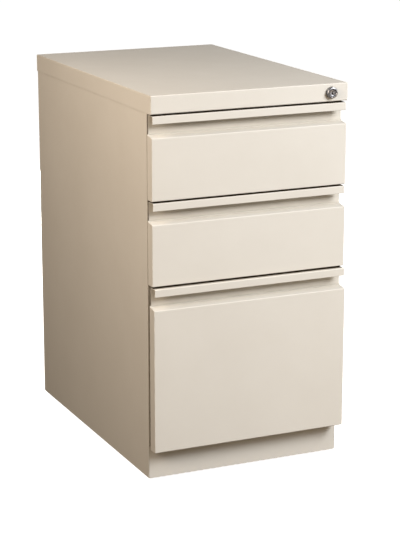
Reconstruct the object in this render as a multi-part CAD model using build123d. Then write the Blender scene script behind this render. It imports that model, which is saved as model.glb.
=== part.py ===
from build123d import *
import os
from math import cos, hypot, radians, sin

# Steel pedestal: two box drawers over a file drawer in a folded sheet case, with a
# separate cap, a gang lock and four levelling glides. Sizes are in millimetres.
# +X is to the right, +Y to the back and +Z up. The origin is on the floor under the
# middle of the cabinet's box. The file drawer stands a little ajar at rest.

# Case
CASE_WIDTH = 381.0
CAP_DEPTH = 581.0
SHEET = 1.0
BEND = 0.8
FLANGE = 15.0
CAP_SKIRT = 32.5
CAP_RETURN = 13.0
CAP_CLEARANCE = 0.2
PANEL_FIT = 0.2
FLOOR_GAP = 5.0
KICK_REVEAL = 57.0
KICK_OVERLAP = 6.0
KICK_SHELF = 14.0
PAN_RIM = 12.0
UPRIGHT_SHEET = 1.5
UPRIGHT_DEPTH = 16.2
UPRIGHT_WIDTH = 30.0
UPRIGHT_FRONT_SETBACK = 18.0
UPRIGHT_REAR_SETBACK = 60.0
UPRIGHT_TOP_DROP = 20.0
WEIGHT_SIDE_GAP = 16.0
WEIGHT_DEPTH = 100.0
WEIGHT_HEIGHT = 30.0
WEIGHT_SETBACK = 15.0
WEIGHT_CHAMFER = 2.0

# Rivets that hold the back panel to the side panels
RIVET_RADIUS = 2.0
RIVET_CLEARANCE = 0.1
RIVET_HEAD_RADIUS = 4.0
RIVET_HEAD_HEIGHT = 0.9
RIVET_HEAD_ROUND = 0.6
RIVET_TAIL = 1.5
RIVET_ROWS = 4
RIVET_END_SETBACK = 55.0

# Drawer fronts
BOX_FRONT_HEIGHT = 149.5
FILE_FRONT_HEIGHT = 302.5
FRONT_REVEAL = 3.0
FRONT_INSET = 0.75
FRONT_FOLD = 20.0
FRONT_GAP = 2.0
LIP_HEIGHT = 14.3
LIP_HEM = 6.0
HEM_ROUND = 0.9
RECESS_HEIGHT = 24.0
SHELF_RISE = 3.0
SHELF_BEND = 1.0
RECESS_INSET = 2.0
RECESS_NOTCH_RISE = 2.0
SIDE_LIP = 12.0
LOWER_LIP = 26.0
EDGE_ROUND = 0.8
FILE_AJAR = 6.5

# Inner plates and screws of the drawer fronts
PLATE_INSET = 4.0
PLATE_MARGIN = 1.5
SCREW_RADIUS = 2.0
SCREW_CLEARANCE = 0.15
SCREW_HEAD_RADIUS = 3.8
SCREW_HEAD_HEIGHT = 2.2
SCREW_HEAD_ROUND = 1.1
SCREW_TAIL = 4.0
SCREW_RISE = 19.0
SCREW_INNER_X = 55.0
SCREW_EDGE = 35.6

# Drawer tubs
TUB_RAISE = 10.0
BOX_TUB_HEIGHT = 104.0
FILE_TUB_HEIGHT = 246.0
TUB_BACK_GAP = 56.8
TUB_RIM = 4.0
TUB_FLANGE = 10.0
RAIL_SHEET = 1.2
RAIL_LEG = 10.0
RAIL_STAND = 9.0
RAIL_FRONT_GAP = 18.0
RAIL_BACK_GAP = 17.0
RAIL_CLEARANCE = 0.1

# Ball-bearing runners
SLIDE_THICKNESS = 12.7
SLIDE_SHEET = 1.2
SLIDE_SETBACK = 8.0
SLIDE_BACK_GAP = 39.8
SLIDE_OVERLAP = 26.0
INNER_HALF_HEIGHT = 9.0
INNER_FLANGE = 6.5
MIDDLE_WEB_GAP = 1.7
MIDDLE_FLANGE = 7.0
OUTER_FLANGE = 9.1
BALL_RADIUS = 1.95
BALL_CLEARANCE = 0.05
CAGE_SHEET = 0.8
CAGE_WIDTH = 5.6
CAGE_POCKET = 0.1
CAGE_MARGIN = 27.0
BALLS_PER_CAGE = 4
BOX_SLIDE_RAISE = 45.0
FILE_SLIDE_RAISE = 120.0

# Gang lock
LOCK_INSET = 32.5
BEZEL_RADIUS = 10.6
BEZEL_PROUD = 6.5
BEZEL_CHAMFER = 1.2
LOCK_BODY_RADIUS = 8.0
LOCK_BODY_LENGTH = 20.0
LOCK_HOLE_CLEARANCE = 0.15
PLUG_RADIUS = 6.2
PLUG_RECESS = 0.6
PLUG_CLEARANCE = 0.05
LOCK_REAR_WALL = 2.0
SPINDLE_RADIUS = 3.5
KEYWAY_WIDTH = 2.0
KEYWAY_HEIGHT = 8.6
KEYWAY_DEPTH = 14.0
NUT_ACROSS_FLATS = 22.0
NUT_THICKNESS = 5.0
CAM_THROW = 9.0
CAM_REST_ANGLE = -45.0
CAM_SHEET = 2.5
CAM_HUB_RADIUS = 6.0
CAM_TIP_RADIUS = 4.0
CAM_PIN_RADIUS = 2.0
CAM_GAP = 1.4
BAR_SETBACK = 6.0
BAR_INSET = 13.0
BAR_WIDTH = 10.0
BAR_THICKNESS = 3.0
BAR_TAIL = 40.0
FORK_CLEARANCE = 0.5
PRONG_HEIGHT = 3.0
PRONG_SIDE_GAP = 1.0
FINGER_HEIGHT = 10.0
FINGER_SIDE_GAP = 3.4
GUIDE_WALL = 2.0
GUIDE_CLEARANCE = 0.3
GUIDE_HEIGHT = 12.0
LOWER_GUIDE_DROP = 28.0
UPPER_GUIDE_RISE = 32.0
CATCH_SHEET = 2.0
CATCH_LENGTH = 16.0
CATCH_HEIGHT = 10.0
CATCH_FOOT = 9.0
CATCH_ABOVE_SLIDE = 34.0
CATCH_GAP = 1.5
CATCH_PLAY = 1.5
CATCH_SIDE_GAP = 1.3

# Levelling glides
GLIDE_INSET_X = 45.5
GLIDE_SETBACK = 50.0
GLIDE_PAD_RADIUS = 16.0
GLIDE_PAD_ROUND = 1.5
GLIDE_STEM_RADIUS = 4.0
GLIDE_STEM_TOP = 24.0
GLIDE_THREAD_CLEARANCE = 0.1
GLIDE_HOLE_CLEARANCE = 0.5
GLIDE_NUT_RADIUS = 9.0
GLIDE_NUT_HEIGHT = 10.0

# Places that follow from the sizes above
fold_radius = BEND + SHEET
front_overhang = max(FILE_AJAR, BEZEL_PROUD)
front_y = front_overhang - (CAP_DEPTH + front_overhang) / 2
cap_back = front_y + CAP_DEPTH
case_front = front_y + FRONT_FOLD + FRONT_GAP
case_back = cap_back - SHEET - CAP_CLEARANCE
case_half = CASE_WIDTH / 2
wall_inside = case_half - SHEET
cap_half = case_half + CAP_CLEARANCE + SHEET
front_half = case_half - FRONT_INSET
file_bottom = FLOOR_GAP + KICK_REVEAL
middle_bottom = file_bottom + FILE_FRONT_HEIGHT + FRONT_REVEAL
top_bottom = middle_bottom + BOX_FRONT_HEIGHT + FRONT_REVEAL
cap_bottom = top_bottom + BOX_FRONT_HEIGHT + FRONT_REVEAL
top_z = cap_bottom + CAP_SKIRT
case_top = top_z - SHEET
kick_top = file_bottom + KICK_OVERLAP
pan_bottom = FLOOR_GAP + SHEET
pan_floor = pan_bottom + SHEET
upright_face = wall_inside - UPRIGHT_DEPTH
upright_front = case_front + UPRIGHT_FRONT_SETBACK
upright_rear = case_back - UPRIGHT_REAR_SETBACK - UPRIGHT_WIDTH
tub_half = upright_face - SLIDE_THICKNESS
plate_front = front_y + FRONT_FOLD
tub_front = plate_front + SHEET
panel_inside = case_back - 2 * SHEET
tub_back = panel_inside - TUB_BACK_GAP
slide_front = case_front + SLIDE_SETBACK
slide_length = panel_inside - SLIDE_BACK_GAP - slide_front
drawer_travel = slide_length - SLIDE_OVERLAP
inner_ball_z = INNER_HALF_HEIGHT + BALL_CLEARANCE + BALL_RADIUS
middle_inside = inner_ball_z + BALL_RADIUS + BALL_CLEARANCE
middle_outside = middle_inside + SLIDE_SHEET
outer_ball_z = middle_outside + BALL_CLEARANCE + BALL_RADIUS
outer_inside = outer_ball_z + BALL_RADIUS + BALL_CLEARANCE
outer_outside = outer_inside + SLIDE_SHEET
middle_web_outer = upright_face - SLIDE_SHEET - MIDDLE_WEB_GAP
middle_flange_tip = middle_web_outer - MIDDLE_FLANGE
outer_flange_tip = upright_face - OUTER_FLANGE
inner_ball_x = (middle_flange_tip + tub_half + INNER_FLANGE) / 2
outer_ball_x = (outer_flange_tip + middle_web_outer) / 2
cage_length = slide_length - drawer_travel / 2 - CAGE_MARGIN
lock_x = case_half - LOCK_INSET
lock_z = (cap_bottom + top_z) / 2
bar_front = case_front + SHEET + BAR_SETBACK
bar_back = bar_front + BAR_THICKNESS
bar_left = wall_inside - BAR_INSET
catch_front = bar_back + CATCH_PLAY + FILE_AJAR
glide_x = case_half - GLIDE_INSET_X
glide_front_y = case_front + GLIDE_SETBACK
glide_rear_y = case_back - GLIDE_SETBACK

# Each drawer: lower edge of its front, front height, tub height, runner height above the
# tub's floor, and how far it stands open at rest
DRAWERS = {
    "top": (top_bottom, BOX_FRONT_HEIGHT, BOX_TUB_HEIGHT, BOX_SLIDE_RAISE, 0.0),
    "middle": (middle_bottom, BOX_FRONT_HEIGHT, BOX_TUB_HEIGHT, BOX_SLIDE_RAISE, 0.0),
    "file": (file_bottom, FILE_FRONT_HEIGHT, FILE_TUB_HEIGHT, FILE_SLIDE_RAISE, FILE_AJAR),
}


def block(low, high):
    """Box between two opposite corners."""
    size = [b - a for a, b in zip(low, high)]
    middle = [(a + b) / 2 for a, b in zip(low, high)]
    return Pos(*middle) * Box(*size)


def rod_y(x, z, radius, y_low, y_high):
    """Round rod along Y."""
    return Pos(x, (y_low + y_high) / 2, z) * Rot(90, 0, 0) * Cylinder(radius, y_high - y_low)


def rod_z(x, y, radius, z_low, z_high):
    """Round rod along Z."""
    return Pos(x, y, (z_low + z_high) / 2) * Cylinder(radius, z_high - z_low)


def mirrored(shape):
    """The same piece for the other side of the cabinet."""
    return mirror(shape, about=Plane.YZ)


def offset_right(points, distance):
    """Corners of the line that runs beside a path, on its right, with mitred corners."""
    normals = []
    for (a, b), (c, d) in zip(points, points[1:]):
        length = hypot(c - a, d - b)
        normals.append(((d - b) / length, (a - c) / length))
    normals = [normals[0]] + normals + [normals[-1]]
    moved = []
    for (y, z), (p, q), (r, s) in zip(points, normals, normals[1:]):
        reach = distance / (1 + p * r + q * s)
        moved.append((y + (p + r) * reach, z + (q + s) * reach))
    return moved


def bent_strip(points, inside_radii, half_width):
    """Sheet folded along a path of (y, z) points, on the path's right, as wide as 2 * half_width.

    inside_radii holds the inner radius of each fold; a right turn has it on the far skin."""
    near_radii = []
    far_radii = []
    for (a, b), (c, d), (e, f), radius in zip(points, points[1:], points[2:], inside_radii):
        turns_right = (c - a) * (f - d) - (d - b) * (e - c) < 0
        near_radii.append(radius + SHEET if turns_right else radius)
        far_radii.append(radius if turns_right else radius + SHEET)
    near = FilletPolyline(*points, radius=near_radii)
    far = FilletPolyline(*offset_right(points, SHEET), radius=far_radii)
    outline = near + far + Line(near @ 0, far @ 0) + Line(near @ 1, far @ 1)
    return extrude(Plane.YZ * make_face(outline), half_width, both=True)


def make_top_cap():
    """Inverted tray with its front edge turned under and a hole for the lock."""
    outer = block((-cap_half, front_y, cap_bottom), (cap_half, cap_back, top_z))
    outer = fillet(cap_folds(outer), fold_radius)
    inside = cap_half - SHEET
    inner = block(
        (-inside, front_y + SHEET, cap_bottom + SHEET), (inside, cap_back - SHEET, case_top)
    )
    inner = fillet(cap_folds(inner), BEND)
    mouth = block(
        (-inside, front_y + CAP_RETURN, cap_bottom),
        (inside, cap_back - SHEET, cap_bottom + CAP_SKIRT / 2),
    )
    mouth = fillet(mouth.edges().filter_by(Axis.Z).sort_by(Axis.Y)[-2:], BEND)
    hole_radius = LOCK_BODY_RADIUS + LOCK_HOLE_CLEARANCE
    hole = rod_y(lock_x, lock_z, hole_radius, front_y - SHEET, front_y + 2 * SHEET)
    return outer - inner - mouth - hole


def cap_folds(tray):
    """Edges of the cap's block that are folds: upright ones, top ones and the lower front one."""
    folds = tray.edges().filter_by(Axis.Z) + tray.faces().sort_by(Axis.Z)[-1].edges()
    return folds + tray.faces().sort_by(Axis.Z)[0].edges().sort_by(Axis.Y)[:1]


def rivet_places():
    """Centre of each rivet on the right-hand rear flange, as (x, z)."""
    low = FLOOR_GAP + RIVET_END_SETBACK
    high = cap_bottom - RIVET_END_SETBACK
    step = (high - low) / (RIVET_ROWS - 1)
    return [(case_half - FLANGE / 2, low + row * step) for row in range(RIVET_ROWS)]


def rivet_holes():
    """Bores for the rivets through the rear flange and the back panel."""
    radius = RIVET_RADIUS + RIVET_CLEARANCE
    return [rod_y(x, z, radius, case_back - 3 * SHEET, case_back + SHEET) for x, z in rivet_places()]


def make_side_panel():
    """Right side panel: a sheet with all four edges turned in, notched for the kick plate."""
    outer = block((case_half - FLANGE, case_front, FLOOR_GAP), (case_half, case_back, case_top))
    outer = fillet(outer.edges().sort_by(Axis.X)[4:], fold_radius)
    inner = block(
        (case_half - FLANGE, case_front + SHEET, pan_bottom),
        (wall_inside, case_back - SHEET, case_top - SHEET),
    )
    inner = fillet(inner.faces().sort_by(Axis.X)[-1].edges(), BEND)
    notch = block(
        (case_half - FLANGE, case_front, FLOOR_GAP),
        (wall_inside, case_front + fold_radius, kick_top + PANEL_FIT),
    )
    return outer - inner - notch - rivet_holes()


def make_back_panel():
    """Plain sheet inside the rear flanges."""
    half = wall_inside - BEND - PANEL_FIT
    sheet = block((-half, panel_inside, pan_bottom), (half, case_back - SHEET, case_top - SHEET))
    holes = rivet_holes()
    return sheet - holes - [mirrored(hole) for hole in holes]


def make_rivets():
    """Low domed rivets through the rear flanges and the back panel, both sides."""
    rivets = []
    for x, z in rivet_places():
        head = rod_y(x, z, RIVET_HEAD_RADIUS, case_back, case_back + RIVET_HEAD_HEIGHT)
        head = fillet(head.edges().sort_by(Axis.Y)[-1], RIVET_HEAD_ROUND)
        shank = rod_y(x, z, RIVET_RADIUS, panel_inside - RIVET_TAIL, case_back)
        rivets += [head + shank, mirrored(head + shank)]
    return Compound(rivets)


def glide_places():
    """Name and (x, y) of each levelling glide."""
    return {
        "front_left": (-glide_x, glide_front_y),
        "front_right": (glide_x, glide_front_y),
        "rear_left": (-glide_x, glide_rear_y),
        "rear_right": (glide_x, glide_rear_y),
    }


def make_bottom_pan():
    """Shallow tray on the side panels' lower flanges, with a hole over each glide."""
    half = wall_inside - BEND - PANEL_FIT
    front = case_front + SHEET + PANEL_FIT
    back = panel_inside - PANEL_FIT
    outer = block((-half, front, pan_bottom), (half, back, pan_bottom + PAN_RIM))
    inner = block(
        (-half + SHEET, front + SHEET, pan_floor),
        (half - SHEET, back - SHEET, pan_bottom + PAN_RIM),
    )
    radius = GLIDE_STEM_RADIUS + GLIDE_HOLE_CLEARANCE
    holes = [rod_z(x, y, radius, FLOOR_GAP, pan_floor + SHEET) for x, y in glide_places().values()]
    return outer - inner - holes


def make_kick_plate():
    """Plain face under the file drawer, with its top edge folded back."""
    path = [(case_front, FLOOR_GAP), (case_front, kick_top), (case_front + KICK_SHELF, kick_top)]
    return bent_strip(path, [BEND], wall_inside - PANEL_FIT)


def make_counterweight():
    """Iron slab on the pan at the back, which keeps the cabinet from tipping forward."""
    back = panel_inside - WEIGHT_SETBACK
    half = glide_x - GLIDE_NUT_RADIUS - WEIGHT_SIDE_GAP
    slab = block((-half, back - WEIGHT_DEPTH, pan_floor), (half, back, pan_floor + WEIGHT_HEIGHT))
    return chamfer(slab.faces().sort_by(Axis.Z)[-1].edges(), WEIGHT_CHAMFER)


def make_upright(front):
    """Right-hand channel that carries the runners, open towards the side panel."""
    bottom = pan_bottom + PAN_RIM
    top = case_top - UPRIGHT_TOP_DROP
    outer = block((upright_face, front, bottom), (wall_inside, front + UPRIGHT_WIDTH, top))
    outer = fillet(outer.edges().filter_by(Axis.Z).sort_by(Axis.X)[:2], BEND + UPRIGHT_SHEET)
    inner = block(
        (upright_face + UPRIGHT_SHEET, front + UPRIGHT_SHEET, bottom),
        (wall_inside, front + UPRIGHT_WIDTH - UPRIGHT_SHEET, top),
    )
    inner = fillet(inner.edges().filter_by(Axis.Z).sort_by(Axis.X)[:2], BEND)
    return outer - inner


def channel(x_web, x_tip, z_middle, inside, outside, y_low):
    """Runner member along Y: a web at x_web and two flanges that reach to x_tip."""
    low = min(x_web, x_tip)
    high = max(x_web, x_tip)
    y_high = y_low + slide_length
    outer = block((low, y_low, z_middle - outside), (high, y_high, z_middle + outside))
    inner_low = low + SLIDE_SHEET if x_web < x_tip else low
    inner_high = high if x_web < x_tip else high - SLIDE_SHEET
    inner = block((inner_low, y_low, z_middle - inside), (inner_high, y_high, z_middle + inside))
    return outer - inner


def make_cabinet_member(z):
    """Right-hand runner member that is fixed to the uprights."""
    return channel(upright_face, outer_flange_tip, z, outer_inside, outer_outside, slide_front)


def make_middle_member(z, shift):
    """Right-hand floating member between the fixed one and the drawer's."""
    return channel(
        middle_web_outer, middle_flange_tip, z, middle_inside, middle_outside, slide_front - shift
    )


def make_drawer_member(z, shift):
    """Right-hand runner member that is fixed to the tub."""
    inside = INNER_HALF_HEIGHT - SLIDE_SHEET
    return channel(tub_half, tub_half + INNER_FLANGE, z, inside, INNER_HALF_HEIGHT, slide_front - shift)


def make_cages(ball_x, ball_z, z, shift):
    """Ball strips above and below the runner's middle, on both sides of the drawer."""
    middle_y = slide_front + slide_length / 2 - shift
    pitch = cage_length / BALLS_PER_CAGE
    solids = []
    for level in (z + ball_z, z - ball_z):
        strip = block(
            (ball_x - CAGE_WIDTH / 2, middle_y - cage_length / 2, level - CAGE_SHEET / 2),
            (ball_x + CAGE_WIDTH / 2, middle_y + cage_length / 2, level + CAGE_SHEET / 2),
        )
        for place in range(BALLS_PER_CAGE):
            y = middle_y + (place + 0.5) * pitch - cage_length / 2
            strip -= rod_z(ball_x, y, BALL_RADIUS + CAGE_POCKET, level - CAGE_SHEET, level + CAGE_SHEET)
            solids.append(Pos(ball_x, y, level) * Sphere(BALL_RADIUS))
        solids.append(strip)
    return Compound(solids + [mirrored(solid) for solid in solids])


def make_drawer_front(bottom, height, shift):
    """One folded sheet: pull lip, recess wall, sloping shelf, face, lower return and side returns."""
    front = front_y - shift
    back = front + FRONT_FOLD
    top = bottom + height
    face_top = top - LIP_HEIGHT - RECESS_HEIGHT
    notch_z = face_top + SHELF_RISE + RECESS_NOTCH_RISE
    pull = [(front, top - LIP_HEIGHT), (front, top), (back, top), (back, notch_z)]
    face = [
        (back, notch_z),
        (back, face_top + SHELF_RISE - SHEET),
        (front + SHEET, face_top - SHEET),
        (front + SHEET, bottom + SHEET),
        (back - SHEET, bottom + SHEET),
        (back - SHEET, bottom + LOWER_LIP),
    ]
    lip_half = front_half - RECESS_INSET
    strip = bent_strip(pull, [BEND, BEND], lip_half)
    strip += block(
        (-lip_half, front + SHEET, top - LIP_HEIGHT),
        (lip_half, front + 2 * SHEET, top - LIP_HEIGHT + LIP_HEM),
    )
    lip_end = strip.faces().filter_by(Plane.XY).sort_by(Axis.Y)[0]
    strip = fillet(lip_end.edges().filter_by(Axis.X), HEM_ROUND)
    strip += bent_strip(face, [BEND, SHELF_BEND, BEND, BEND], front_half)
    shelf_back, shelf_front = offset_right(face, SHEET)[1:3]
    side = FilletPolyline(
        shelf_back,
        shelf_front,
        (front, bottom),
        (back - SHEET, bottom),
        radius=[0, SHELF_BEND + SHEET, fold_radius, 0],
        close=True,
    )
    cheek = extrude(Plane.YZ.offset(front_half - SHEET) * make_face(side), SHEET)
    side_lip = block(
        (front_half - SIDE_LIP, back - SHEET, bottom + SHEET),
        (front_half, back, face_top + SHELF_RISE - SHEET),
    )
    right = cheek + side_lip
    front_sheet = strip + right + mirrored(right)
    upright_edges = front_sheet.edges().filter_by(Axis.Z).group_by(Axis.Y)[0]
    return fillet(upright_edges.filter_by_position(Axis.Z, bottom, face_top), EDGE_ROUND)


def screw_places(bottom):
    """Centre of each screw of a drawer front, as (x, z)."""
    outer_x = tub_half - SCREW_EDGE
    across = (-outer_x, -SCREW_INNER_X, SCREW_INNER_X, outer_x)
    return [(x, bottom + SCREW_RISE) for x in across]


def screw_holes(bottom, shift):
    """Bores for the screws through the inner plate and the front's lower lip."""
    radius = SCREW_RADIUS + SCREW_CLEARANCE
    low = plate_front - 2 * SHEET - shift
    high = tub_front + SHEET - shift
    return [rod_y(x, z, radius, low, high) for x, z in screw_places(bottom)]


def make_inner_plate(bottom, height, shift):
    """Flat plate between a drawer's front and its tub."""
    half = front_half - PLATE_INSET
    plate = block(
        (-half, plate_front - shift, bottom + PLATE_MARGIN),
        (half, tub_front - shift, bottom + height - PLATE_MARGIN),
    )
    return plate - screw_holes(bottom, shift)


def make_screws(bottom, shift):
    """Pan-head screws from inside the tub into the front."""
    screws = []
    seat = tub_front - shift
    for x, z in screw_places(bottom):
        head = rod_y(x, z, SCREW_HEAD_RADIUS, seat, seat + SCREW_HEAD_HEIGHT)
        head = fillet(head.edges().sort_by(Axis.Y)[-1], SCREW_HEAD_ROUND)
        shank = rod_y(x, z, SCREW_RADIUS, seat - 2 * SHEET - SCREW_TAIL, seat)
        screws.append(head + shank)
    return Compound(screws)


def make_tub(bottom, height, shift):
    """Folded tub, open at the top, with turned-out rims and front flanges."""
    floor = bottom + TUB_RAISE
    rim = floor + height
    front = tub_front - shift
    back = tub_back - shift
    outer = block((-tub_half, front, floor), (tub_half, back, rim))
    outer = fillet(outer.faces().sort_by(Axis.Z)[0].edges().filter_by(Axis.Y), fold_radius)
    inner = block(
        (-tub_half + SHEET, front, floor + SHEET), (tub_half - SHEET, back - SHEET, rim)
    )
    inner = fillet(inner.faces().sort_by(Axis.Z)[0].edges().filter_by(Axis.Y), BEND)
    side_rim = block(
        (tub_half - SHEET, front, rim - SHEET), (tub_half + TUB_RIM, back, rim)
    )
    side_flange = block(
        (tub_half - SHEET, front, floor + fold_radius), (tub_half + TUB_FLANGE, front + SHEET, rim)
    )
    right = side_rim + side_flange
    back_rim = block((-tub_half, back - SHEET, rim - SHEET), (tub_half, back + TUB_RIM, rim))
    return outer - inner + right + mirrored(right) + back_rim


def make_hanging_rails():
    """Two rails that clip over the file tub's rims and carry the hooks of hanging folders."""
    rim = file_bottom + TUB_RAISE + FILE_TUB_HEIGHT
    front = tub_front - FILE_AJAR + RAIL_FRONT_GAP
    back = tub_back - FILE_AJAR - RAIL_BACK_GAP
    leg_outer = tub_half - SHEET - RAIL_CLEARANCE
    leg_inner = leg_outer - RAIL_SHEET
    leg = block((leg_inner, front, rim - RAIL_LEG), (leg_outer, back, rim + RAIL_STAND))
    seat = block((leg_inner, front, rim), (tub_half + TUB_RIM, back, rim + RAIL_SHEET))
    return Compound([leg + seat, mirrored(leg + seat)])


def catch_level(bottom, slide_raise):
    """Height of a catch's lower edge."""
    return bottom + TUB_RAISE + slide_raise + CATCH_ABOVE_SLIDE


def make_catch(bottom, slide_raise, shift):
    """Angle on the right side of a tub, which the lock bar's finger blocks."""
    low = catch_level(bottom, slide_raise)
    front = catch_front - shift
    foot = block(
        (tub_half, front, low),
        (tub_half + CATCH_SHEET, front + CATCH_LENGTH, low + CATCH_HEIGHT + CATCH_FOOT),
    )
    tab = block(
        (tub_half, front, low),
        (upright_face - CATCH_SIDE_GAP, front + CATCH_SHEET, low + CATCH_HEIGHT),
    )
    return foot + tab


def make_lock_housing():
    """Bezel and barrel of the lock, bored for the plug and its spindle."""
    bezel = rod_y(lock_x, lock_z, BEZEL_RADIUS, front_y - BEZEL_PROUD, front_y)
    bezel = chamfer(bezel.edges().sort_by(Axis.Y)[0], BEZEL_CHAMFER)
    end = front_y + LOCK_BODY_LENGTH
    barrel = rod_y(lock_x, lock_z, LOCK_BODY_RADIUS, front_y, end)
    bore = rod_y(
        lock_x, lock_z, PLUG_RADIUS + PLUG_CLEARANCE, front_y - BEZEL_PROUD, end - LOCK_REAR_WALL
    )
    rear_bore = rod_y(
        lock_x, lock_z, SPINDLE_RADIUS + PLUG_CLEARANCE, end - LOCK_REAR_WALL, end
    )
    return bezel + barrel - bore - rear_bore


def make_lock_nut():
    """Hexagon nut that clamps the lock behind the cap's front."""
    seat = front_y + SHEET
    hexagon = RegularPolygon(NUT_ACROSS_FLATS / 2, 6, major_radius=False)
    bore = Circle(LOCK_BODY_RADIUS + PLUG_CLEARANCE)
    ring = extrude(hexagon - bore, NUT_THICKNESS)
    return Pos(lock_x, seat + NUT_THICKNESS, lock_z) * Rot(90, 0, 0) * ring


def make_lock_plug():
    """Turning plug with its keyway and the spindle that drives the cam."""
    face = front_y - BEZEL_PROUD + PLUG_RECESS
    shoulder = front_y + LOCK_BODY_LENGTH - LOCK_REAR_WALL - PLUG_CLEARANCE
    plug = rod_y(lock_x, lock_z, PLUG_RADIUS, face, shoulder)
    spindle = rod_y(lock_x, lock_z, SPINDLE_RADIUS, shoulder, bar_back + CAM_GAP + CAM_SHEET)
    keyway = block(
        (lock_x - KEYWAY_WIDTH / 2, face, lock_z - KEYWAY_HEIGHT / 2),
        (lock_x + KEYWAY_WIDTH / 2, face + KEYWAY_DEPTH, lock_z + KEYWAY_HEIGHT / 2),
    )
    return plug + spindle - keyway


def cam_pin_place():
    """Centre of the cam's pin at rest, as (x, z)."""
    angle = radians(CAM_REST_ANGLE)
    return lock_x + CAM_THROW * cos(angle), lock_z + CAM_THROW * sin(angle)


def make_lock_cam():
    """Arm on the plug's spindle whose pin lifts the lock bar."""
    face = bar_back + CAM_GAP
    pin_x, pin_z = cam_pin_place()
    hub = Circle(CAM_HUB_RADIUS)
    tip = Pos(CAM_THROW, 0) * Circle(CAM_TIP_RADIUS)
    outline = Rot(0, 0, CAM_REST_ANGLE) * make_hull((hub + tip).edges())
    bore = Circle(SPINDLE_RADIUS + PLUG_CLEARANCE)
    arm = Pos(lock_x, face + CAM_SHEET, lock_z) * Rot(90, 0, 0) * extrude(outline - bore, CAM_SHEET)
    return arm + rod_y(pin_x, pin_z, CAM_PIN_RADIUS, bar_front, face)


def make_lock_bar():
    """Flat bar with a fork for the cam's pin and a finger under each drawer's catch."""
    pin_z = cam_pin_place()[1]
    fork_gap = CAM_PIN_RADIUS + FORK_CLEARANCE
    bar_right = bar_left + BAR_WIDTH
    lowest_finger = catch_level(file_bottom, FILE_SLIDE_RAISE) - CATCH_GAP - FINGER_HEIGHT
    bar = block(
        (bar_left, bar_front, lowest_finger - BAR_TAIL),
        (bar_right, bar_back, pin_z + fork_gap + PRONG_HEIGHT),
    )
    prong_tip = lock_x + SPINDLE_RADIUS + PRONG_SIDE_GAP
    for prong_low in (pin_z + fork_gap, pin_z - fork_gap - PRONG_HEIGHT):
        bar += block((prong_tip, bar_front, prong_low), (bar_right, bar_back, prong_low + PRONG_HEIGHT))
    for bottom, _, _, slide_raise, _ in DRAWERS.values():
        finger_top = catch_level(bottom, slide_raise) - CATCH_GAP
        bar += block(
            (tub_half + FINGER_SIDE_GAP, bar_front, finger_top - FINGER_HEIGHT),
            (bar_right, bar_back, finger_top),
        )
    return bar


def make_bar_guides():
    """Two blocks on the right side panel with a slot that the lock bar slides in."""
    lower = catch_level(file_bottom, FILE_SLIDE_RAISE) - CATCH_GAP - FINGER_HEIGHT - LOWER_GUIDE_DROP
    upper = catch_level(top_bottom, BOX_SLIDE_RAISE) + UPPER_GUIDE_RISE
    reach = GUIDE_WALL + GUIDE_CLEARANCE
    guides = []
    for low in (lower, upper):
        body = block(
            (bar_left - reach, bar_front - reach, low),
            (wall_inside, bar_back + reach, low + GUIDE_HEIGHT),
        )
        slot = block(
            (bar_left - GUIDE_CLEARANCE, bar_front - GUIDE_CLEARANCE, low),
            (bar_left + BAR_WIDTH + GUIDE_CLEARANCE, bar_back + GUIDE_CLEARANCE, low + GUIDE_HEIGHT),
        )
        guides.append(body - slot)
    return Compound(guides)


def make_glide(x, y):
    """Levelling glide: a round foot on a threaded stem."""
    pad = rod_z(x, y, GLIDE_PAD_RADIUS, 0, pan_bottom)
    pad = fillet(pad.edges().sort_by(Axis.Z)[0], GLIDE_PAD_ROUND)
    return pad + rod_z(x, y, GLIDE_STEM_RADIUS, pan_bottom, pan_floor + GLIDE_STEM_TOP)


def make_glide_nuts():
    """Round nuts welded to the pan, one for each glide."""
    nuts = []
    for x, y in glide_places().values():
        body = rod_z(x, y, GLIDE_NUT_RADIUS, pan_floor, pan_floor + GLIDE_NUT_HEIGHT)
        bore_radius = GLIDE_STEM_RADIUS + GLIDE_THREAD_CLEARANCE
        nuts.append(body - rod_z(x, y, bore_radius, pan_floor, pan_floor + GLIDE_NUT_HEIGHT))
    return Compound(nuts)


def make_case():
    """Pieces that stay still, by node name."""
    pieces = {
        "top_cap": make_top_cap(),
        "right_side_panel": make_side_panel(),
        "back_panel": make_back_panel(),
        "back_panel_rivets": make_rivets(),
        "bottom_pan": make_bottom_pan(),
        "kick_plate": make_kick_plate(),
        "counterweight": make_counterweight(),
        "right_front_upright": make_upright(upright_front),
        "right_rear_upright": make_upright(upright_rear),
        "lock_housing": make_lock_housing(),
        "lock_nut": make_lock_nut(),
        "lock_bar_guides": make_bar_guides(),
        "glide_nuts": make_glide_nuts(),
    }
    for name, (bottom, _, _, slide_raise, _) in DRAWERS.items():
        pieces[f"right_{name}_slide_cabinet"] = make_cabinet_member(bottom + TUB_RAISE + slide_raise)
    for name in [name for name in pieces if name.startswith("right_")]:
        pieces[name.replace("right_", "left_", 1)] = mirrored(pieces[name])
    return pieces


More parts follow.
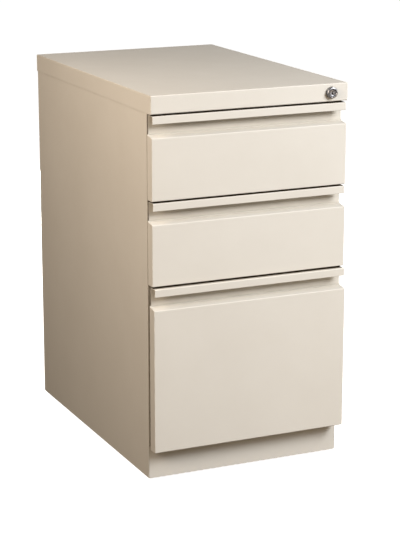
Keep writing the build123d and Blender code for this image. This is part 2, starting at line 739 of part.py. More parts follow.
def make_drawer(name):
    """Pieces of one drawer and of its runners' moving parts, by node name."""
    bottom, height, tub_height, slide_raise, shift = DRAWERS[name]
    slide_z = bottom + TUB_RAISE + slide_raise
    middle = make_middle_member(slide_z, shift / 2)
    front = make_drawer_front(bottom, height, shift)
    drawer_member = make_drawer_member(slide_z, shift)
    return {
        f"{name}_drawer_front": front - screw_holes(bottom, shift),
        f"{name}_drawer_inner_front": make_inner_plate(bottom, height, shift),
        f"{name}_drawer_screws": make_screws(bottom, shift),
        f"{name}_drawer_tub": make_tub(bottom, tub_height, shift),
        f"{name}_drawer_catch": make_catch(bottom, slide_raise, shift),
        f"right_{name}_slide_drawer": drawer_member,
        f"left_{name}_slide_drawer": mirrored(drawer_member),
        f"{name}_slide_middles": Compound([middle, mirrored(middle)]),
        f"{name}_slide_outer_cages": make_cages(outer_ball_x, outer_ball_z, slide_z, shift / 4),
        f"{name}_slide_inner_cages": make_cages(inner_ball_x, inner_ball_z, slide_z, shift * 3 / 4),
    }


def make_all():
    """Every piece of the cabinet by node name."""
    pieces = make_case()
    for name in DRAWERS:
        pieces.update(make_drawer(name))
    pieces["hanging_file_rails"] = make_hanging_rails()
    pieces["lock_plug"] = make_lock_plug()
    pieces["lock_cam"] = make_lock_cam()
    pieces["lock_bar"] = make_lock_bar()
    for place, (x, y) in glide_places().items():
        pieces[f"glide_{place}"] = make_glide(x, y)
    return pieces


os.makedirs("parts", exist_ok=True)
for node, shape in make_all().items():
    export_step(shape, f"parts/{node}.step")
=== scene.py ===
from math import cos, pi, radians, sin

import bmesh
import bpy
import numpy as np
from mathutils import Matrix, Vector


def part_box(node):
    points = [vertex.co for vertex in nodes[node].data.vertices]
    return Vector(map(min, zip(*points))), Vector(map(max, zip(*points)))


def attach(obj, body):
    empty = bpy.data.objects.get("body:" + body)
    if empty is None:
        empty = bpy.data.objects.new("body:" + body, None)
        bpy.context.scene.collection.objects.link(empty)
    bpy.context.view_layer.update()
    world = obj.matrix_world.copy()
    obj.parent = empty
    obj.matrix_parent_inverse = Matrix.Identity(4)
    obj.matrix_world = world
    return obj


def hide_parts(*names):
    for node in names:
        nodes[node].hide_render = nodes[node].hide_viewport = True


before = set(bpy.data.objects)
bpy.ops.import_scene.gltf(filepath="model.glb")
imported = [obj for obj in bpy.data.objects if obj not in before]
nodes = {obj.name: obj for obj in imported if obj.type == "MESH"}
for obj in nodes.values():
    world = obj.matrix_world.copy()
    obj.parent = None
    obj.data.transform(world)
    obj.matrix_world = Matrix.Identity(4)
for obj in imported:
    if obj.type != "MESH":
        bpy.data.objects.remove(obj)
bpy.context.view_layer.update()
DRAWER_NAMES = ("top", "middle", "file")

# All lengths below are in metres and all angles in radians, where no comment says otherwise
# Camera, from the photograph, with its focal length and image height in pixels and its sensor in millimetres
CAMERA_PLACE = Vector((-1.3727, -3.0967, 1.1862))
CAMERA_YAW = 0.4257
CAMERA_PITCH = 0.2507
FOCAL_PIXELS = 1806.0
IMAGE_HEIGHT = 533
SENSOR = 36.0


# Shader helpers, with the numbers of a colour mix's sockets
MIX_SHARE, MIX_LOW, MIX_HIGH, MIX_RESULT = 0, 6, 7, 2


class Finish:
    """A material with one principled shader and short calls for the textures that feed it."""

    def __init__(self, name, **constants):
        self.material = bpy.data.materials.new(name)
        self.material.use_nodes = True
        self.tree = self.material.node_tree
        self.shader = self.tree.nodes["Principled BSDF"]
        for socket, value in constants.items():
            self.shader.inputs[socket.replace("_", " ")].default_value = value
        self.place = self.node("ShaderNodeTexCoord").outputs["Object"]

    def node(self, kind, **settings):
        made = self.tree.nodes.new(kind)
        for setting, value in settings.items():
            setattr(made, setting, value)
        return made

    def join(self, source, target):
        self.tree.links.new(source, target)

    def feed(self, socket, source):
        self.join(source, self.shader.inputs[socket])

    def stretched(self, scale, centre=(0.0, 0.0, 0.0)):
        """Object coordinates about a centre, times a scale for each axis."""
        mapping = self.node("ShaderNodeMapping")
        mapping.inputs["Scale"].default_value = scale
        mapping.inputs["Location"].default_value = [-c * s for c, s in zip(centre, scale)]
        self.join(self.place, mapping.inputs["Vector"])
        return mapping.outputs["Vector"]

    def noise(self, scale, detail=3.0, rough=0.5, place=None):
        made = self.node("ShaderNodeTexNoise")
        made.inputs["Scale"].default_value = scale
        made.inputs["Detail"].default_value = detail
        made.inputs["Roughness"].default_value = rough
        self.join(place or self.place, made.inputs["Vector"])
        return made.outputs["Fac"]

    def cells(self, scale):
        made = self.node("ShaderNodeTexVoronoi")
        made.inputs["Scale"].default_value = scale
        self.join(self.place, made.inputs["Vector"])
        return made.outputs["Distance"]

    def spread(self, source, low=0.0, high=1.0, source_low=0.3, source_high=0.7):
        """A texture's value carried from its usual range to low ... high."""
        made = self.node("ShaderNodeMapRange")
        made.inputs["From Min"].default_value = source_low
        made.inputs["From Max"].default_value = source_high
        made.inputs["To Min"].default_value = low
        made.inputs["To Max"].default_value = high
        self.join(source, made.inputs["Value"])
        return made.outputs["Result"]

    def tint(self, share, low, high):
        """Colour between two, by a share from 0 to 1. Either may be a colour or a socket."""
        made = self.node("ShaderNodeMix", data_type="RGBA")
        self.join(share, made.inputs[MIX_SHARE])
        for socket, colour in ((made.inputs[MIX_LOW], low), (made.inputs[MIX_HIGH], high)):
            if isinstance(colour, bpy.types.NodeSocket):
                self.join(colour, socket)
            else:
                socket.default_value = (*colour, 1.0)
        return made.outputs[MIX_RESULT]

    def relief(self, height, depth, strength=1.0, under=None):
        """Bump of a depth in metres, laid over another bump if one is given."""
        made = self.node("ShaderNodeBump")
        made.inputs["Strength"].default_value = strength
        made.inputs["Distance"].default_value = depth
        self.join(height, made.inputs["Height"])
        if under is not None:
            self.join(under, made.inputs["Normal"])
        return made.outputs["Normal"]

    def edges(self, radius, sharpness):
        """Share of edge in the surface: how far a rounded normal leaves the true one within a radius."""
        bevel = self.node("ShaderNodeBevel", samples=4)
        bevel.inputs["Radius"].default_value = radius
        geometry = self.node("ShaderNodeNewGeometry")
        dot = self.node("ShaderNodeVectorMath", operation="DOT_PRODUCT")
        self.join(bevel.outputs["Normal"], dot.inputs[0])
        self.join(geometry.outputs["Normal"], dot.inputs[1])
        return self.spread(dot.outputs["Value"], 1.0, 0.0, 1.0 - sharpness, 1.0)

    def shelter(self, reach, closed, clear):
        """Share of shelter: 1 where the open share within reach is closed or less, 0 where clear or more."""
        space = self.node("ShaderNodeAmbientOcclusion", samples=6)
        space.inputs["Distance"].default_value = reach
        return self.spread(space.outputs["AO"], 1.0, 0.0, closed, clear)

    def greater(self, first, second):
        """The greater of two values."""
        made = self.node("ShaderNodeMath", operation="MAXIMUM")
        self.join(first, made.inputs[0])
        self.join(second, made.inputs[1])
        return made.outputs["Value"]


# Finishes of the cabinet
ENAMEL_LIGHT = (0.552, 0.546, 0.522)
ENAMEL_DARK = (0.532, 0.524, 0.498)
# Paler colour at folds: a painted highlight
ENAMEL_PAINTED_FOLD_HIGHLIGHT = (0.560, 0.554, 0.531)
# Warmer, darker colour where the surface is sheltered: painted shade
ENAMEL_PAINTED_SHADE = (0.515, 0.475, 0.400)
# Near-black brown colour in narrow gaps between parts: painted shade
ENAMEL_PAINTED_SEAM_SHADE = (0.045, 0.026, 0.010)


def putty_enamel():
    """Baked satin enamel: faint mottling, orange-peel skin, slow waves in the sheet, a painted highlight
    paler at folds, painted warm shade in sheltered places and painted near-black shade in narrow gaps."""
    finish = Finish("putty_enamel", IOR=1.36)
    mottle = finish.noise(9.0, detail=5.0, rough=0.6)
    body = finish.tint(finish.spread(mottle), ENAMEL_DARK, ENAMEL_LIGHT)
    # Paler within a rounded edge's reach: painted highlight along the folds
    body = finish.tint(finish.edges(radius=0.0012, sharpness=0.25), body, ENAMEL_PAINTED_FOLD_HIGHLIGHT)
    # Warmer and darker where sheltered within 30 mm, under lips and in recesses: painted shade
    body = finish.tint(finish.shelter(reach=0.030, closed=0.35, clear=0.85), body, ENAMEL_PAINTED_SHADE)
    # Near black in narrow gaps and tight corners: painted shade, and rougher there too
    painted_seam_shade = finish.shelter(reach=0.012, closed=0.35, clear=0.65)
    finish.feed("Base Color", finish.tint(painted_seam_shade, body, ENAMEL_PAINTED_SEAM_SHADE))
    satin = finish.spread(finish.noise(35.0, detail=4.0), 0.60, 0.69)
    finish.feed("Roughness", finish.greater(satin, painted_seam_shade))
    waves = finish.relief(finish.noise(4.0, detail=1.0), depth=0.0003, strength=0.5)
    peel = finish.relief(finish.noise(650.0, detail=2.0), depth=0.00003, strength=0.6, under=waves)
    finish.feed("Normal", peel)
    return finish.material


def zinc_plate():
    """Bright zinc plating on rolled strip: long drawn streaks and a faint spangle."""
    finish = Finish("zinc_plate", Metallic=1.0)
    streaks = finish.noise(1.0, detail=4.0, place=finish.stretched((700.0, 6.0, 700.0)))
    spangle = finish.spread(finish.cells(60.0), source_low=0.1, source_high=0.7)
    finish.feed("Base Color", finish.tint(spangle, (0.60, 0.62, 0.64), (0.70, 0.71, 0.72)))
    finish.feed("Roughness", finish.spread(streaks, 0.24, 0.40))
    finish.feed("Normal", finish.relief(streaks, depth=0.00002, strength=0.5))
    return finish.material


def steel_hardware():
    """Plain steel fittings: fine grain in the metal and darker handling marks."""
    finish = Finish("steel_hardware", Metallic=1.0)
    marks = finish.noise(45.0, detail=6.0, rough=0.65)
    grain = finish.noise(1.0, detail=3.0, place=finish.stretched((900.0, 900.0, 40.0)))
    body = finish.tint(finish.spread(marks), (0.40, 0.41, 0.43), (0.56, 0.56, 0.57))
    finish.feed("Base Color", body)
    finish.feed("Roughness", finish.spread(grain, 0.28, 0.44))
    finish.feed("Normal", finish.relief(grain, depth=0.00002, strength=0.4))
    return finish.material


def cast_iron():
    """Rough sand-cast iron under a thin dark coat."""
    finish = Finish("cast_iron", Metallic=0.6)
    sand = finish.noise(420.0, detail=4.0, rough=0.7)
    patches = finish.noise(22.0, detail=4.0)
    body = finish.tint(finish.spread(patches), (0.06, 0.06, 0.065), (0.12, 0.115, 0.11))
    finish.feed("Base Color", body)
    finish.feed("Roughness", finish.spread(sand, 0.55, 0.8))
    finish.feed("Normal", finish.relief(sand, depth=0.0004, strength=0.7))
    return finish.material


def white_nylon():
    """Moulded nylon: soft gloss, faint flow marks."""
    finish = Finish("white_nylon", IOR=1.53, Subsurface_Weight=0.15, Subsurface_Scale=0.002)
    flow = finish.noise(80.0, detail=3.0)
    body = finish.tint(finish.spread(flow), (0.74, 0.73, 0.69), (0.82, 0.81, 0.77))
    finish.feed("Base Color", body)
    finish.feed("Roughness", finish.spread(flow, 0.38, 0.5))
    finish.feed("Normal", finish.relief(finish.noise(900.0), depth=0.00002, strength=0.4))
    return finish.material


def black_foot_plastic():
    """Black moulded feet: fine pebble skin, scuffed grey at the edges."""
    finish = Finish("black_foot_plastic", IOR=1.5)
    skin = finish.cells(900.0)
    scuff = finish.noise(120.0, detail=5.0)
    body = finish.tint(finish.spread(scuff), (0.018, 0.018, 0.019), (0.035, 0.034, 0.033))
    body = finish.tint(finish.edges(radius=0.0008, sharpness=0.3), body, (0.10, 0.10, 0.10))
    finish.feed("Base Color", body)
    finish.feed("Roughness", finish.spread(scuff, 0.45, 0.65))
    finish.feed("Normal", finish.relief(skin, depth=0.00005, strength=0.5))
    return finish.material


def nickel_lock():
    """Satin nickel of the lock: turned rings about its axis, faint smudges and painted near-black shade in
    its grooves.
    """
    low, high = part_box("lock_housing")
    centre = (low + high) / 2
    finish = Finish("nickel_lock", Metallic=1.0)
    about_axis = finish.stretched((1.0, 0.0, 1.0), centre)
    length = finish.node("ShaderNodeVectorMath", operation="LENGTH")
    finish.join(about_axis, length.inputs[0])
    rings = finish.node("ShaderNodeTexNoise", noise_dimensions="1D")
    rings.inputs["Scale"].default_value = 5200.0
    finish.join(length.outputs["Value"], rings.inputs["W"])
    smudge = finish.noise(260.0, detail=4.0)
    body = finish.tint(finish.spread(smudge), (0.24, 0.25, 0.28), (0.36, 0.37, 0.40))
    # Near black where close surfaces hem it in: painted shade in the grooves and keyway
    body = finish.tint(finish.shelter(reach=0.003, closed=0.45, clear=0.85), body, (0.02, 0.02, 0.022))
    finish.feed("Base Color", body)
    finish.feed("Roughness", finish.spread(rings.outputs["Fac"], 0.30, 0.44))
    finish.feed("Normal", finish.relief(rings.outputs["Fac"], depth=0.00002, strength=0.5))
    return finish.material


FINISHES = {
    "enamel": putty_enamel(),
    "zinc": zinc_plate(),
    "hardware": steel_hardware(),
    "lock_metal": nickel_lock(),
    "iron": cast_iron(),
    "nylon": white_nylon(),
    "glide_plastic": black_foot_plastic(),
}


def dress_cad_nodes():
    """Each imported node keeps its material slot's finish."""
    for node in nodes.values():
        for slot in node.material_slots:
            slot.material = FINISHES[slot.material.name]


dress_cad_nodes()


# Surfaces
AXIS_X, AXIS_Y, AXIS_Z = 0, 1, 2
MERGE_DISTANCE = 1e-7


def grid_quads(rows, columns, ring=False):
    """Quads of a grid of points numbered row by row; a ring joins its last column to its first."""
    row, column = np.meshgrid(np.arange(rows - 1), np.arange(columns if ring else columns - 1), indexing="ij")
    beside = (column + 1) % columns
    corners = (row * columns + column, row * columns + beside,
               (row + 1) * columns + beside, (row + 1) * columns + column)
    return np.stack(corners, -1).reshape(-1, 4)


def make_piece(name, surfaces, slot, body, replaced=(), crease=35.0):
    """One piece from surfaces, each a grid of points and whether it closes into a ring: doubles are merged,
    faces turned outwards and shading smoothed up to a crease angle in degrees."""
    points, quads, count = [], [], 0
    for grid, ring in surfaces:
        rows, columns = grid.shape[:2]
        points.append(grid.reshape(-1, 3))
        quads.append(grid_quads(rows, columns, ring) + count)
        count += rows * columns
    mesh = bpy.data.meshes.new(name)
    mesh.from_pydata(np.concatenate(points), [], np.concatenate(quads))
    work = bmesh.new()
    work.from_mesh(mesh)
    bmesh.ops.remove_doubles(work, verts=work.verts, dist=MERGE_DISTANCE)
    bmesh.ops.recalc_face_normals(work, faces=work.faces)
    work.to_mesh(mesh)
    work.free()
    mesh.shade_smooth()
    mesh.set_sharp_from_angle(angle=radians(crease))
    mesh.materials.append(FINISHES[slot])
    piece = bpy.data.objects.new(name, mesh)
    bpy.context.collection.objects.link(piece)
    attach(piece, body)
    if replaced:
        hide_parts(*replaced)


def rounded(corners, radii, steps=6):
    """Open outline through corners in a plane. A corner with a radius becomes an arc about the point on
    its bisector at radius / sin(half angle), swept from one tangent point to the other."""
    corners = np.asarray(corners, float)
    share = np.linspace(0.0, 1.0, steps)[:, None]
    parts = [corners[:1]]
    for before, corner, after, radius in zip(corners, corners[1:], corners[2:], radii):
        back = (before - corner) / np.linalg.norm(before - corner)
        ahead = (after - corner) / np.linalg.norm(after - corner)
        if radius == 0.0:
            parts.append(corner[None])
            continue
        half = np.arccos(np.clip(back @ ahead, -1.0, 1.0)) / 2
        middle = corner + (back + ahead) / np.linalg.norm(back + ahead) * radius / np.sin(half)
        start = corner + back * radius / np.tan(half) - middle
        end = corner + ahead * radius / np.tan(half) - middle
        turn = pi - 2 * half
        arc = np.sin((1 - share) * turn) * start + np.sin(share * turn) * end
        parts.append(middle + arc / np.sin(turn))
    return np.concatenate(parts + [corners[-1:]])


def turned(profile, centre, axis, segments=96):
    """Profile of (radius, distance along the axis) turned about an axis through a centre:
    the two other coordinates are r cos t and r sin t."""
    turn = np.arange(segments) * 2 * pi / segments
    first, second = [k for k in range(3) if k != axis]
    grid = np.zeros((len(profile), segments, 3))
    grid[..., first] = centre[first] + profile[:, :1] * np.cos(turn)
    grid[..., second] = centre[second] + profile[:, :1] * np.sin(turn)
    grid[..., axis] = profile[:, 1:]
    return grid


# Lock in the cap
COLLAR_TAPER = 0.0007
COLLAR_EDGE = 0.0024
COLLAR_RING = 0.0027
COLLAR_ROUND = 0.00192
RING_ROUND = 0.0003
BORE_ROUND = 0.0002
BARREL_ROUND = 0.0004
BORE_CHAMFER = 0.0008
RUNNING_GAP = 0.00005
REAR_WALL = 0.002
BARREL_RADIUS = 0.008
SPINDLE_RADIUS = 0.0035
KEYWAY_HALF = 0.0043
KEYWAY_WIDE = 0.0009
KEYWAY_LEAN = 0.7
KEYWAY_KNEE = 0.0003
KEYWAY_SOFT = 0.0005
KEYWAY_DEPTH = 0.009
PLUG_DISH = 0.0004
PLUG_CHAMFER = 0.0004
FACE_RINGS = 8
FIRST_BLEND = 0.06


def make_lock_housing():
    """Collar and barrel of the lock, one closed outline of (radius, y) turned about the lock's axis: bore,
    dished face ring, rounded edge, side that widens to its seat, barrel, rear wall."""
    low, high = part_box("lock_housing")
    plug_low, plug_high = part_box("lock_plug")
    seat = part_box("top_cap")[0].y
    centre = (low + high) / 2
    base = (high.x - low.x) / 2
    rim = base - COLLAR_TAPER
    bore = (plug_high.x - plug_low.x) / 2 + RUNNING_GAP
    spindle_bore = SPINDLE_RADIUS + RUNNING_GAP
    rear = high.y - REAR_WALL
    corners = [
        (spindle_bore, rear), (bore, rear), (bore, low.y + 2 * BORE_CHAMFER),
        (bore + BORE_CHAMFER, low.y + BORE_CHAMFER / 2), (rim - COLLAR_RING, low.y + BORE_CHAMFER / 2),
        (rim - COLLAR_EDGE, low.y), (rim, low.y), (base, seat), (BARREL_RADIUS, seat),
        (BARREL_RADIUS, high.y), (spindle_bore, high.y), (spindle_bore, rear),
    ]
    radii = [0.0, 0.0, BORE_ROUND, BORE_ROUND, RING_ROUND, COLLAR_ROUND, 0.0, 0.0, BARREL_ROUND, 0.0]
    grid = turned(rounded(corners, radii), centre, AXIS_Y)
    make_piece("lock_collar", [(grid, True)], "lock_metal", "case", ["lock_housing"], crease=25.0)


def keyway_sides(count):
    """Left and right side of the keyway from its lower to its upper end, as (x, z) about the plug's axis.
    The slot follows a bent line, x = lean * (sqrt((z - knee)^2 + soft^2) - half / 2), and each side lies
    wide * sqrt(1 - (z / half)^8) from it."""
    z = -KEYWAY_HALF * np.cos(pi * np.linspace(0.0, 1.0, count + 1))
    bent = KEYWAY_LEAN * (np.hypot(z - KEYWAY_KNEE, KEYWAY_SOFT) - KEYWAY_HALF / 2)
    half = KEYWAY_WIDE * np.sqrt(np.clip(1.0 - (z / KEYWAY_HALF) ** 8, 0.0, 1.0))
    return np.stack([bent - half, z], -1), np.stack([bent + half, z], -1)


def make_lock_plug(count=40):
    """Turning plug: rings that go from the keyway's outline to circles, (1 - w) * outline + w * circle, over
    a face dished by dish * (1 - w^3), then down the plug's side and along the spindle."""
    low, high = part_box("lock_plug")
    centre = (low + high) / 2
    radius = (high.x - low.x) / 2
    left, right = keyway_sides(count)
    outline = np.concatenate([left[:-1], right[:0:-1]])
    share = np.arange(count) / count
    angle = np.concatenate([1.5 * pi - pi * share, 0.5 * pi - pi * share])
    circle = np.stack([np.cos(angle), np.sin(angle)], -1)
    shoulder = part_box("lock_housing")[1].y - REAR_WALL - RUNNING_GAP
    flat = radius - 2 * PLUG_CHAMFER
    rings = [(outline, low.y + KEYWAY_DEPTH), (outline, low.y + PLUG_DISH + PLUG_CHAMFER / 2)]
    for blend in np.linspace(FIRST_BLEND, 1.0, FACE_RINGS):
        rings.append(((1 - blend) * outline + blend * flat * circle, low.y + PLUG_DISH * (1 - blend ** 3)))
    side = [(radius - PLUG_CHAMFER, low.y), (radius, low.y + PLUG_CHAMFER), (radius, shoulder),
            (SPINDLE_RADIUS, shoulder), (SPINDLE_RADIUS, high.y), (0.0, high.y)]
    rings += [(reach * circle, depth) for reach, depth in side]
    plane = np.stack([ring for ring, depth in rings])
    depth = np.array([depth for ring, depth in rings])
    grid = np.stack([centre.x + plane[..., 0], np.broadcast_to(depth[:, None], plane.shape[:2]),
                     centre.z + plane[..., 1]], -1)
    across = np.stack([left, right], 1)
    floor = np.stack([centre.x + across[..., 0], np.full(across.shape[:2], rings[0][1]),
                      centre.z + across[..., 1]], -1)
    surfaces = [(grid, True), (floor, False)]
    make_piece("lock_plug_keyed", surfaces, "lock_metal", "lock", ["lock_plug"], crease=30.0)


make_lock_housing()
make_lock_plug()


# Ball-bearing runners
RUNNER_SHEET = 0.0012
RUNNER_BEND = 0.0015
MIDDLE_FLANGE = 0.007
CAGE_HALF_WIDTH = 0.0028
RACE_DEPTH = 0.0004
RACE_STEPS = 24
BEND_STEPS = 7


def runner_section(tip, web, height, race):
    """Middle line of a runner member's section as (x, z) about its centre: along the upper flange from its
    tip, where z = height + race(x), round a quarter circle into the web, and mirrored along the lower one."""
    inwards = np.sign(tip - web)
    x = np.linspace(tip, web + inwards * RUNNER_BEND, RACE_STEPS)
    flange = np.stack([x, height + race(x)], -1)
    turn = np.linspace(0.0, pi / 2, BEND_STEPS)[1:]
    bend_x = web + inwards * RUNNER_BEND * (1 - np.sin(turn))
    bend_z = flange[-1, 1] - RUNNER_BEND * (1 - np.cos(turn))
    upper = np.concatenate([flange, np.stack([bend_x, bend_z], -1)])
    return np.concatenate([upper, upper[::-1] * (1.0, -1.0)])


def parabola(depth, race, edge):
    """Flange rolled about a race: depth * ((x - race) / (edge - race))^2, no more than depth."""
    return lambda x: depth * np.minimum(((x - race) / (edge - race)) ** 2, 1.0)


def half_wave(depth, between, reach):
    """Flange rolled about two races: depth * sin(90 degrees * (x - between) / reach), 0 past 2 reaches."""
    return lambda x: depth * np.sin(pi / 2 * np.clip((x - between) / reach, -2.0, 2.0))


def sheet_along_y(line, low, high):
    """Sheet carried along Y over a box's length, at its middle height: its skins are line +- half the sheet
    times the line's normal, joined round the section, and the cut ends are closed between the skins."""
    step = np.gradient(line, axis=0)
    normal = np.stack([-step[:, 1], step[:, 0]], -1)
    normal *= RUNNER_SHEET / 2 / np.linalg.norm(normal, axis=1, keepdims=True)
    skins = np.stack([line + normal, line - normal], 1)
    section = np.concatenate([skins[:, 0], skins[::-1, 1]])
    middle = (low.z + high.z) / 2

    def placed(points, y):
        return np.stack([points[..., 0], np.full(points.shape[:-1], y), middle + points[..., 1]], -1)

    wall = np.stack([placed(section, low.y), placed(section, high.y)])
    return [(wall, True), (placed(skins, low.y), False), (placed(skins, high.y), False)]


def mirrored(surfaces):
    """The same surfaces for the cabinet's left side."""
    return [(grid * (-1.0, 1.0, 1.0), ring) for grid, ring in surfaces]


def make_runners(drawer):
    """Fixed, middle and riding members of a drawer's two runners, with flanges that are rolled round the
    balls: a parabola about the race on the outer members and a half wave between both races on the middle."""
    outer_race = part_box(f"{drawer}_slide_outer_cages")[1].x - CAGE_HALF_WIDTH
    inner_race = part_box(f"{drawer}_slide_inner_cages")[1].x - CAGE_HALF_WIDTH
    between = (outer_race + inner_race) / 2
    reach = (outer_race - inner_race) / 2
    skin = RUNNER_SHEET / 2

    low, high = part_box(f"right_{drawer}_slide_cabinet")
    race = parabola(-RACE_DEPTH, outer_race, low.x)
    line = runner_section(low.x, high.x - skin, (high.z - low.z) / 2 - skin, race)
    fixed = sheet_along_y(line, low, high)

    low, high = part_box(f"right_{drawer}_slide_drawer")
    race = parabola(RACE_DEPTH, inner_race, high.x)
    line = runner_section(high.x, low.x + skin, (high.z - low.z) / 2 - skin, race)
    riding = sheet_along_y(line, low, high)

    low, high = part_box(f"{drawer}_slide_middles")
    race = half_wave(-RACE_DEPTH / 2, between, reach)
    line = runner_section(high.x - MIDDLE_FLANGE, high.x - skin, (high.z - low.z) / 2 - skin, race)
    middle = sheet_along_y(line, low, high)

    for side, surfaces in (("right", fixed), ("left", mirrored(fixed))):
        node = f"{side}_{drawer}_slide_cabinet"
        make_piece(f"{side}_{drawer}_runner_fixed", surfaces, "zinc", "case", [node])
    for side, surfaces in (("right", riding), ("left", mirrored(riding))):
        node = f"{side}_{drawer}_slide_drawer"
        make_piece(f"{side}_{drawer}_runner_riding", surfaces, "zinc", f"{drawer}_drawer", [node])
    node = f"{drawer}_slide_middles"
    make_piece(f"{drawer}_runner_middles", middle + mirrored(middle), "zinc", node, [node])


# Screws
HEAD_RADIUS = 0.0038
HEAD_HEIGHT = 0.0022
SHANK_RADIUS = 0.002
FRONT_SCREW_INNER_X = 0.055
RUNNER_SCREW_SHARES = (0.08, 0.5, 0.92)
RUNNER_SCREW_LENGTH = 0.0034
RECESS_ARM = 0.0021
RECESS_HALF_WIDTH = 0.00045
RECESS_DEPTH = 0.0012
RECESS_FEATHER = 0.0004


def ramp(value):
    """Smooth step from 0 to 1: s^2 * (3 - 2 s)."""
    share = np.clip(value, 0.0, 1.0)
    return share * share * (3.0 - 2.0 * share)


def pan_screw(seat, axis, length, rings=20, segments=48):
    """Pan-head screw along an axis, its head on a seat: rings out over the head, height * (1 - s^4)^(1/2)
    less a cross recess made of two smooth-edged slots, then in to the shank and along it to its end."""
    share = 1.0 - (1.0 - np.linspace(0.0, 1.0, rings)) ** 2
    turn = np.arange(segments) * 2 * pi / segments
    radius = np.concatenate([HEAD_RADIUS * share, [SHANK_RADIUS, SHANK_RADIUS, 0.0]])
    height = np.concatenate([HEAD_HEIGHT * np.sqrt(1.0 - share ** 4), [0.0, -length, -length]])
    u = radius[:, None] * np.cos(turn)
    v = radius[:, None] * np.sin(turn)
    slots = [ramp((RECESS_HALF_WIDTH - abs(a)) / RECESS_FEATHER + 0.5)
             * ramp((RECESS_ARM - abs(b)) / RECESS_FEATHER + 0.5) for a, b in ((u, v), (v, u))]
    on_head = np.arange(len(radius))[:, None] < rings
    rise = height[:, None] - on_head * RECESS_DEPTH * np.maximum(*slots)
    first, second = [k for k in range(3) if k != axis]
    grid = np.zeros((*u.shape, 3))
    grid[..., first] = seat[first] + u
    grid[..., second] = seat[second] + v
    grid[..., axis] = seat[axis] + rise
    return grid, True


def make_screws(drawer):
    """Screws of a drawer's front, seen inside the tub, and those that hold its runners to the tub."""
    body = f"{drawer}_drawer"
    low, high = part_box(f"{drawer}_drawer_screws")
    outer_x = high.x - HEAD_RADIUS
    seats = [(x, high.y - HEAD_HEIGHT, (low.z + high.z) / 2)
             for x in (-outer_x, -FRONT_SCREW_INNER_X, FRONT_SCREW_INNER_X, outer_x)]
    length = high.y - HEAD_HEIGHT - low.y
    surfaces = [pan_screw(seat, AXIS_Y, length) for seat in seats]
    make_piece(f"{drawer}_front_screws", surfaces, "hardware", body, [f"{drawer}_drawer_screws"])

    low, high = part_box(f"right_{drawer}_slide_drawer")
    seats = [(low.x + RUNNER_SHEET, low.y + share * (high.y - low.y), (low.z + high.z) / 2)
             for share in RUNNER_SCREW_SHARES]
    surfaces = [pan_screw(seat, AXIS_X, RUNNER_SCREW_LENGTH) for seat in seats]
    make_piece(f"{drawer}_runner_screws", surfaces + mirrored(surfaces), "hardware", body)


# Levelling glides
PAD_HEIGHT = 0.006
PAD_SHOULDER = 0.0045
PAD_CROWN = 0.0054
PAD_EDGE = 0.0015
PAD_RIM_SHARE = 0.9
PAD_HUB = 0.0065
STEM_RADIUS = 0.004
FLUTES = 24
FLUTE_DEPTH = 0.0004
THREAD_PITCH = 0.00125
THREAD_DEPTH = 0.0004
THREAD_ROWS = 6


def make_glide(node, segments=96):
    """Levelling glide turned about its stem. The pad's rim is fluted, r - depth * (1 + cos(n t)) / 2, and the
    stem threaded, r - depth * |2 * frac(z / pitch - t / 2 pi) - 1|."""
    low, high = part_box(node)
    centre = (low + high) / 2
    pad = (high.x - low.x) / 2
    pad_top = low.z + PAD_HEIGHT
    corners = [(0.0, low.z), (pad, low.z), (pad, low.z + PAD_SHOULDER), (PAD_HUB, low.z + PAD_CROWN),
               (PAD_HUB, pad_top), (STEM_RADIUS, pad_top)]
    base = rounded(corners, [PAD_EDGE, PAD_EDGE / 2, 0.0, 0.0])
    turns = (high.z - pad_top) / THREAD_PITCH
    heights = np.linspace(pad_top, high.z, int(turns * THREAD_ROWS))
    stem = np.stack([np.full(len(heights), STEM_RADIUS), heights], -1)
    profile = np.concatenate([base, stem, [(0.0, high.z)]])
    turn = np.arange(segments) * 2 * pi / segments
    rim = ramp((profile[:, :1] / pad - PAD_RIM_SHARE) / (1 - PAD_RIM_SHARE))
    on_stem = (profile[:, :1] > 0.0) & (profile[:, 1:] > pad_top)
    phase = profile[:, 1:] / THREAD_PITCH - turn / (2 * pi)
    cut = rim * FLUTE_DEPTH * (1 + np.cos(FLUTES * turn)) / 2
    cut = cut + on_stem * THREAD_DEPTH * abs(2 * (phase % 1.0) - 1)
    radius = profile[:, :1] - cut
    grid = np.stack([centre.x + radius * np.cos(turn), centre.y + radius * np.sin(turn),
                     np.broadcast_to(profile[:, 1:], radius.shape)], -1)
    make_piece(f"{node}_threaded", [(grid, True)], "glide_plastic", node, [node])


for drawer in DRAWER_NAMES:
    make_runners(drawer)
    make_screws(drawer)
for end in ("front", "rear"):
    for side in ("left", "right"):
        make_glide(f"glide_{end}_{side}")


# Stage, light and camera
STAGE_RADIUS = 40.0
FLOOR_RINGS = 8
DOME_RINGS = 24
SURROUND_STRENGTH = 0.029


def floor_paper():
    """Plain pale paper with a white glow of its own, which leaves shadows on it faint."""
    finish = Finish("floor_paper", Roughness=0.9, Emission_Strength=0.97)
    fibre = finish.noise(40.0, detail=4.0)
    pale = finish.tint(finish.spread(fibre), (0.90, 0.90, 0.90), (0.92, 0.92, 0.92))
    finish.feed("Base Color", pale)
    finish.shader.inputs["Emission Color"].default_value = (1.0, 1.0, 1.0, 1.0)
    return finish.material


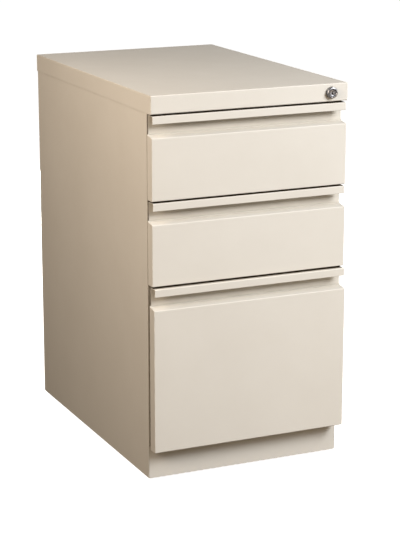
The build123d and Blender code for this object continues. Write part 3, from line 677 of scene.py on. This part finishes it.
def make_backing(name, profile, material):
    """Sheet of the stage turned about Z. It casts no shadow and neither lights nor shows in the cabinet."""
    grid = turned(np.asarray(profile, float), (0.0, 0.0, 0.0), AXIS_Z)
    mesh = bpy.data.meshes.new(name)
    mesh.from_pydata(grid.reshape(-1, 3), [], grid_quads(*grid.shape[:2], ring=True))
    mesh.materials.append(material)
    backing = bpy.data.objects.new(name, mesh)
    bpy.context.collection.objects.link(backing)
    backing.visible_diffuse = False
    backing.visible_glossy = False
    backing.visible_shadow = False


def make_stage():
    """Round floor at z = 0 and a pale dome over it, (r cos a, r sin a), for a studio's white walls."""
    paper = floor_paper()
    make_backing("floor", [(reach, 0.0) for reach in np.linspace(0.0, STAGE_RADIUS, FLOOR_RINGS)], paper)
    rise = np.linspace(0.0, pi / 2, DOME_RINGS)
    make_backing("dome", np.stack([STAGE_RADIUS * np.cos(rise), STAGE_RADIUS * np.sin(rise)], -1), paper)


def make_light(name, place, aim, size, power, colour):
    """Soft square lamp at a place, aimed at a point."""
    lamp = bpy.data.lights.new(name, "AREA")
    lamp.shape = "SQUARE"
    lamp.size = size
    lamp.energy = power
    lamp.color = colour
    holder = bpy.data.objects.new(name, lamp)
    holder.location = place
    holder.rotation_mode = "QUATERNION"
    holder.rotation_quaternion = (Vector(aim) - Vector(place)).to_track_quat("-Z", "Y")
    holder.visible_camera = False
    bpy.context.collection.objects.link(holder)


def light_stage():
    """Soft keys at the right front, amber lamps by the floor, warm ones at the left, pale ones for the far
    sides and a faint amber surround."""
    aim = (0.0, -0.2, 0.4)
    white = (1.0, 0.986, 0.964)
    amber = (1.0, 0.764, 0.522)
    warm = (1.0, 0.82, 0.641)
    pale = (1.0, 0.94, 0.86)
    make_light("key", (1.6, -2.2, 2.1), aim, size=1.2, power=121.0, colour=white)
    make_light("key_far", (1.9, -2.9, 2.0), aim, size=1.2, power=12.0, colour=white)
    make_light("right_low", (1.6, -2.2, 1.1), aim, size=1.0, power=5.8, colour=white)
    make_light("right_close", (0.9, -1.1, 1.5), aim, size=0.6, power=2.3, colour=white)
    make_light("floor_bounce", (0.8, -1.0, 0.03), aim, size=1.0, power=3.2, colour=amber)
    make_light("floor_left", (-0.2, -1.0, 0.03), aim, size=0.8, power=0.6, colour=amber)
    make_light("left_front", (-1.3, -0.9, 1.1), aim, size=0.6, power=15.3, colour=warm)
    make_light("left_close", (-0.9, -0.1, 1.4), aim, size=0.4, power=6.6, colour=warm)
    make_light("left_mid", (-1.8, -0.3, 0.9), aim, size=0.8, power=4.2, colour=warm)
    make_light("right_side", (2.4, 0.5, 0.3), aim, size=0.5, power=14.0, colour=pale)
    make_light("rear", (0.3, 2.6, 0.3), aim, size=0.5, power=42.0, colour=pale)
    world = bpy.data.worlds.new("studio")
    bpy.context.scene.world = world
    world.use_nodes = True
    surround = world.node_tree.nodes["Background"]
    surround.inputs["Color"].default_value = (*amber, 1.0)
    surround.inputs["Strength"].default_value = SURROUND_STRENGTH


def set_camera():
    """Camera at the photograph's place and angle."""
    camera = bpy.data.objects.new("camera", bpy.data.cameras.new("camera"))
    camera.data.sensor_width = SENSOR
    camera.data.lens = SENSOR * FOCAL_PIXELS / IMAGE_HEIGHT
    camera.location = CAMERA_PLACE
    level = cos(CAMERA_PITCH)
    look = Vector((sin(CAMERA_YAW) * level, cos(CAMERA_YAW) * level, -sin(CAMERA_PITCH)))
    camera.rotation_mode = "QUATERNION"
    camera.rotation_quaternion = look.to_track_quat("-Z", "Y")
    bpy.context.collection.objects.link(camera)
    bpy.context.scene.camera = camera
    bpy.context.scene.view_settings.view_transform = "Standard"


make_stage()
light_stage()
set_camera()
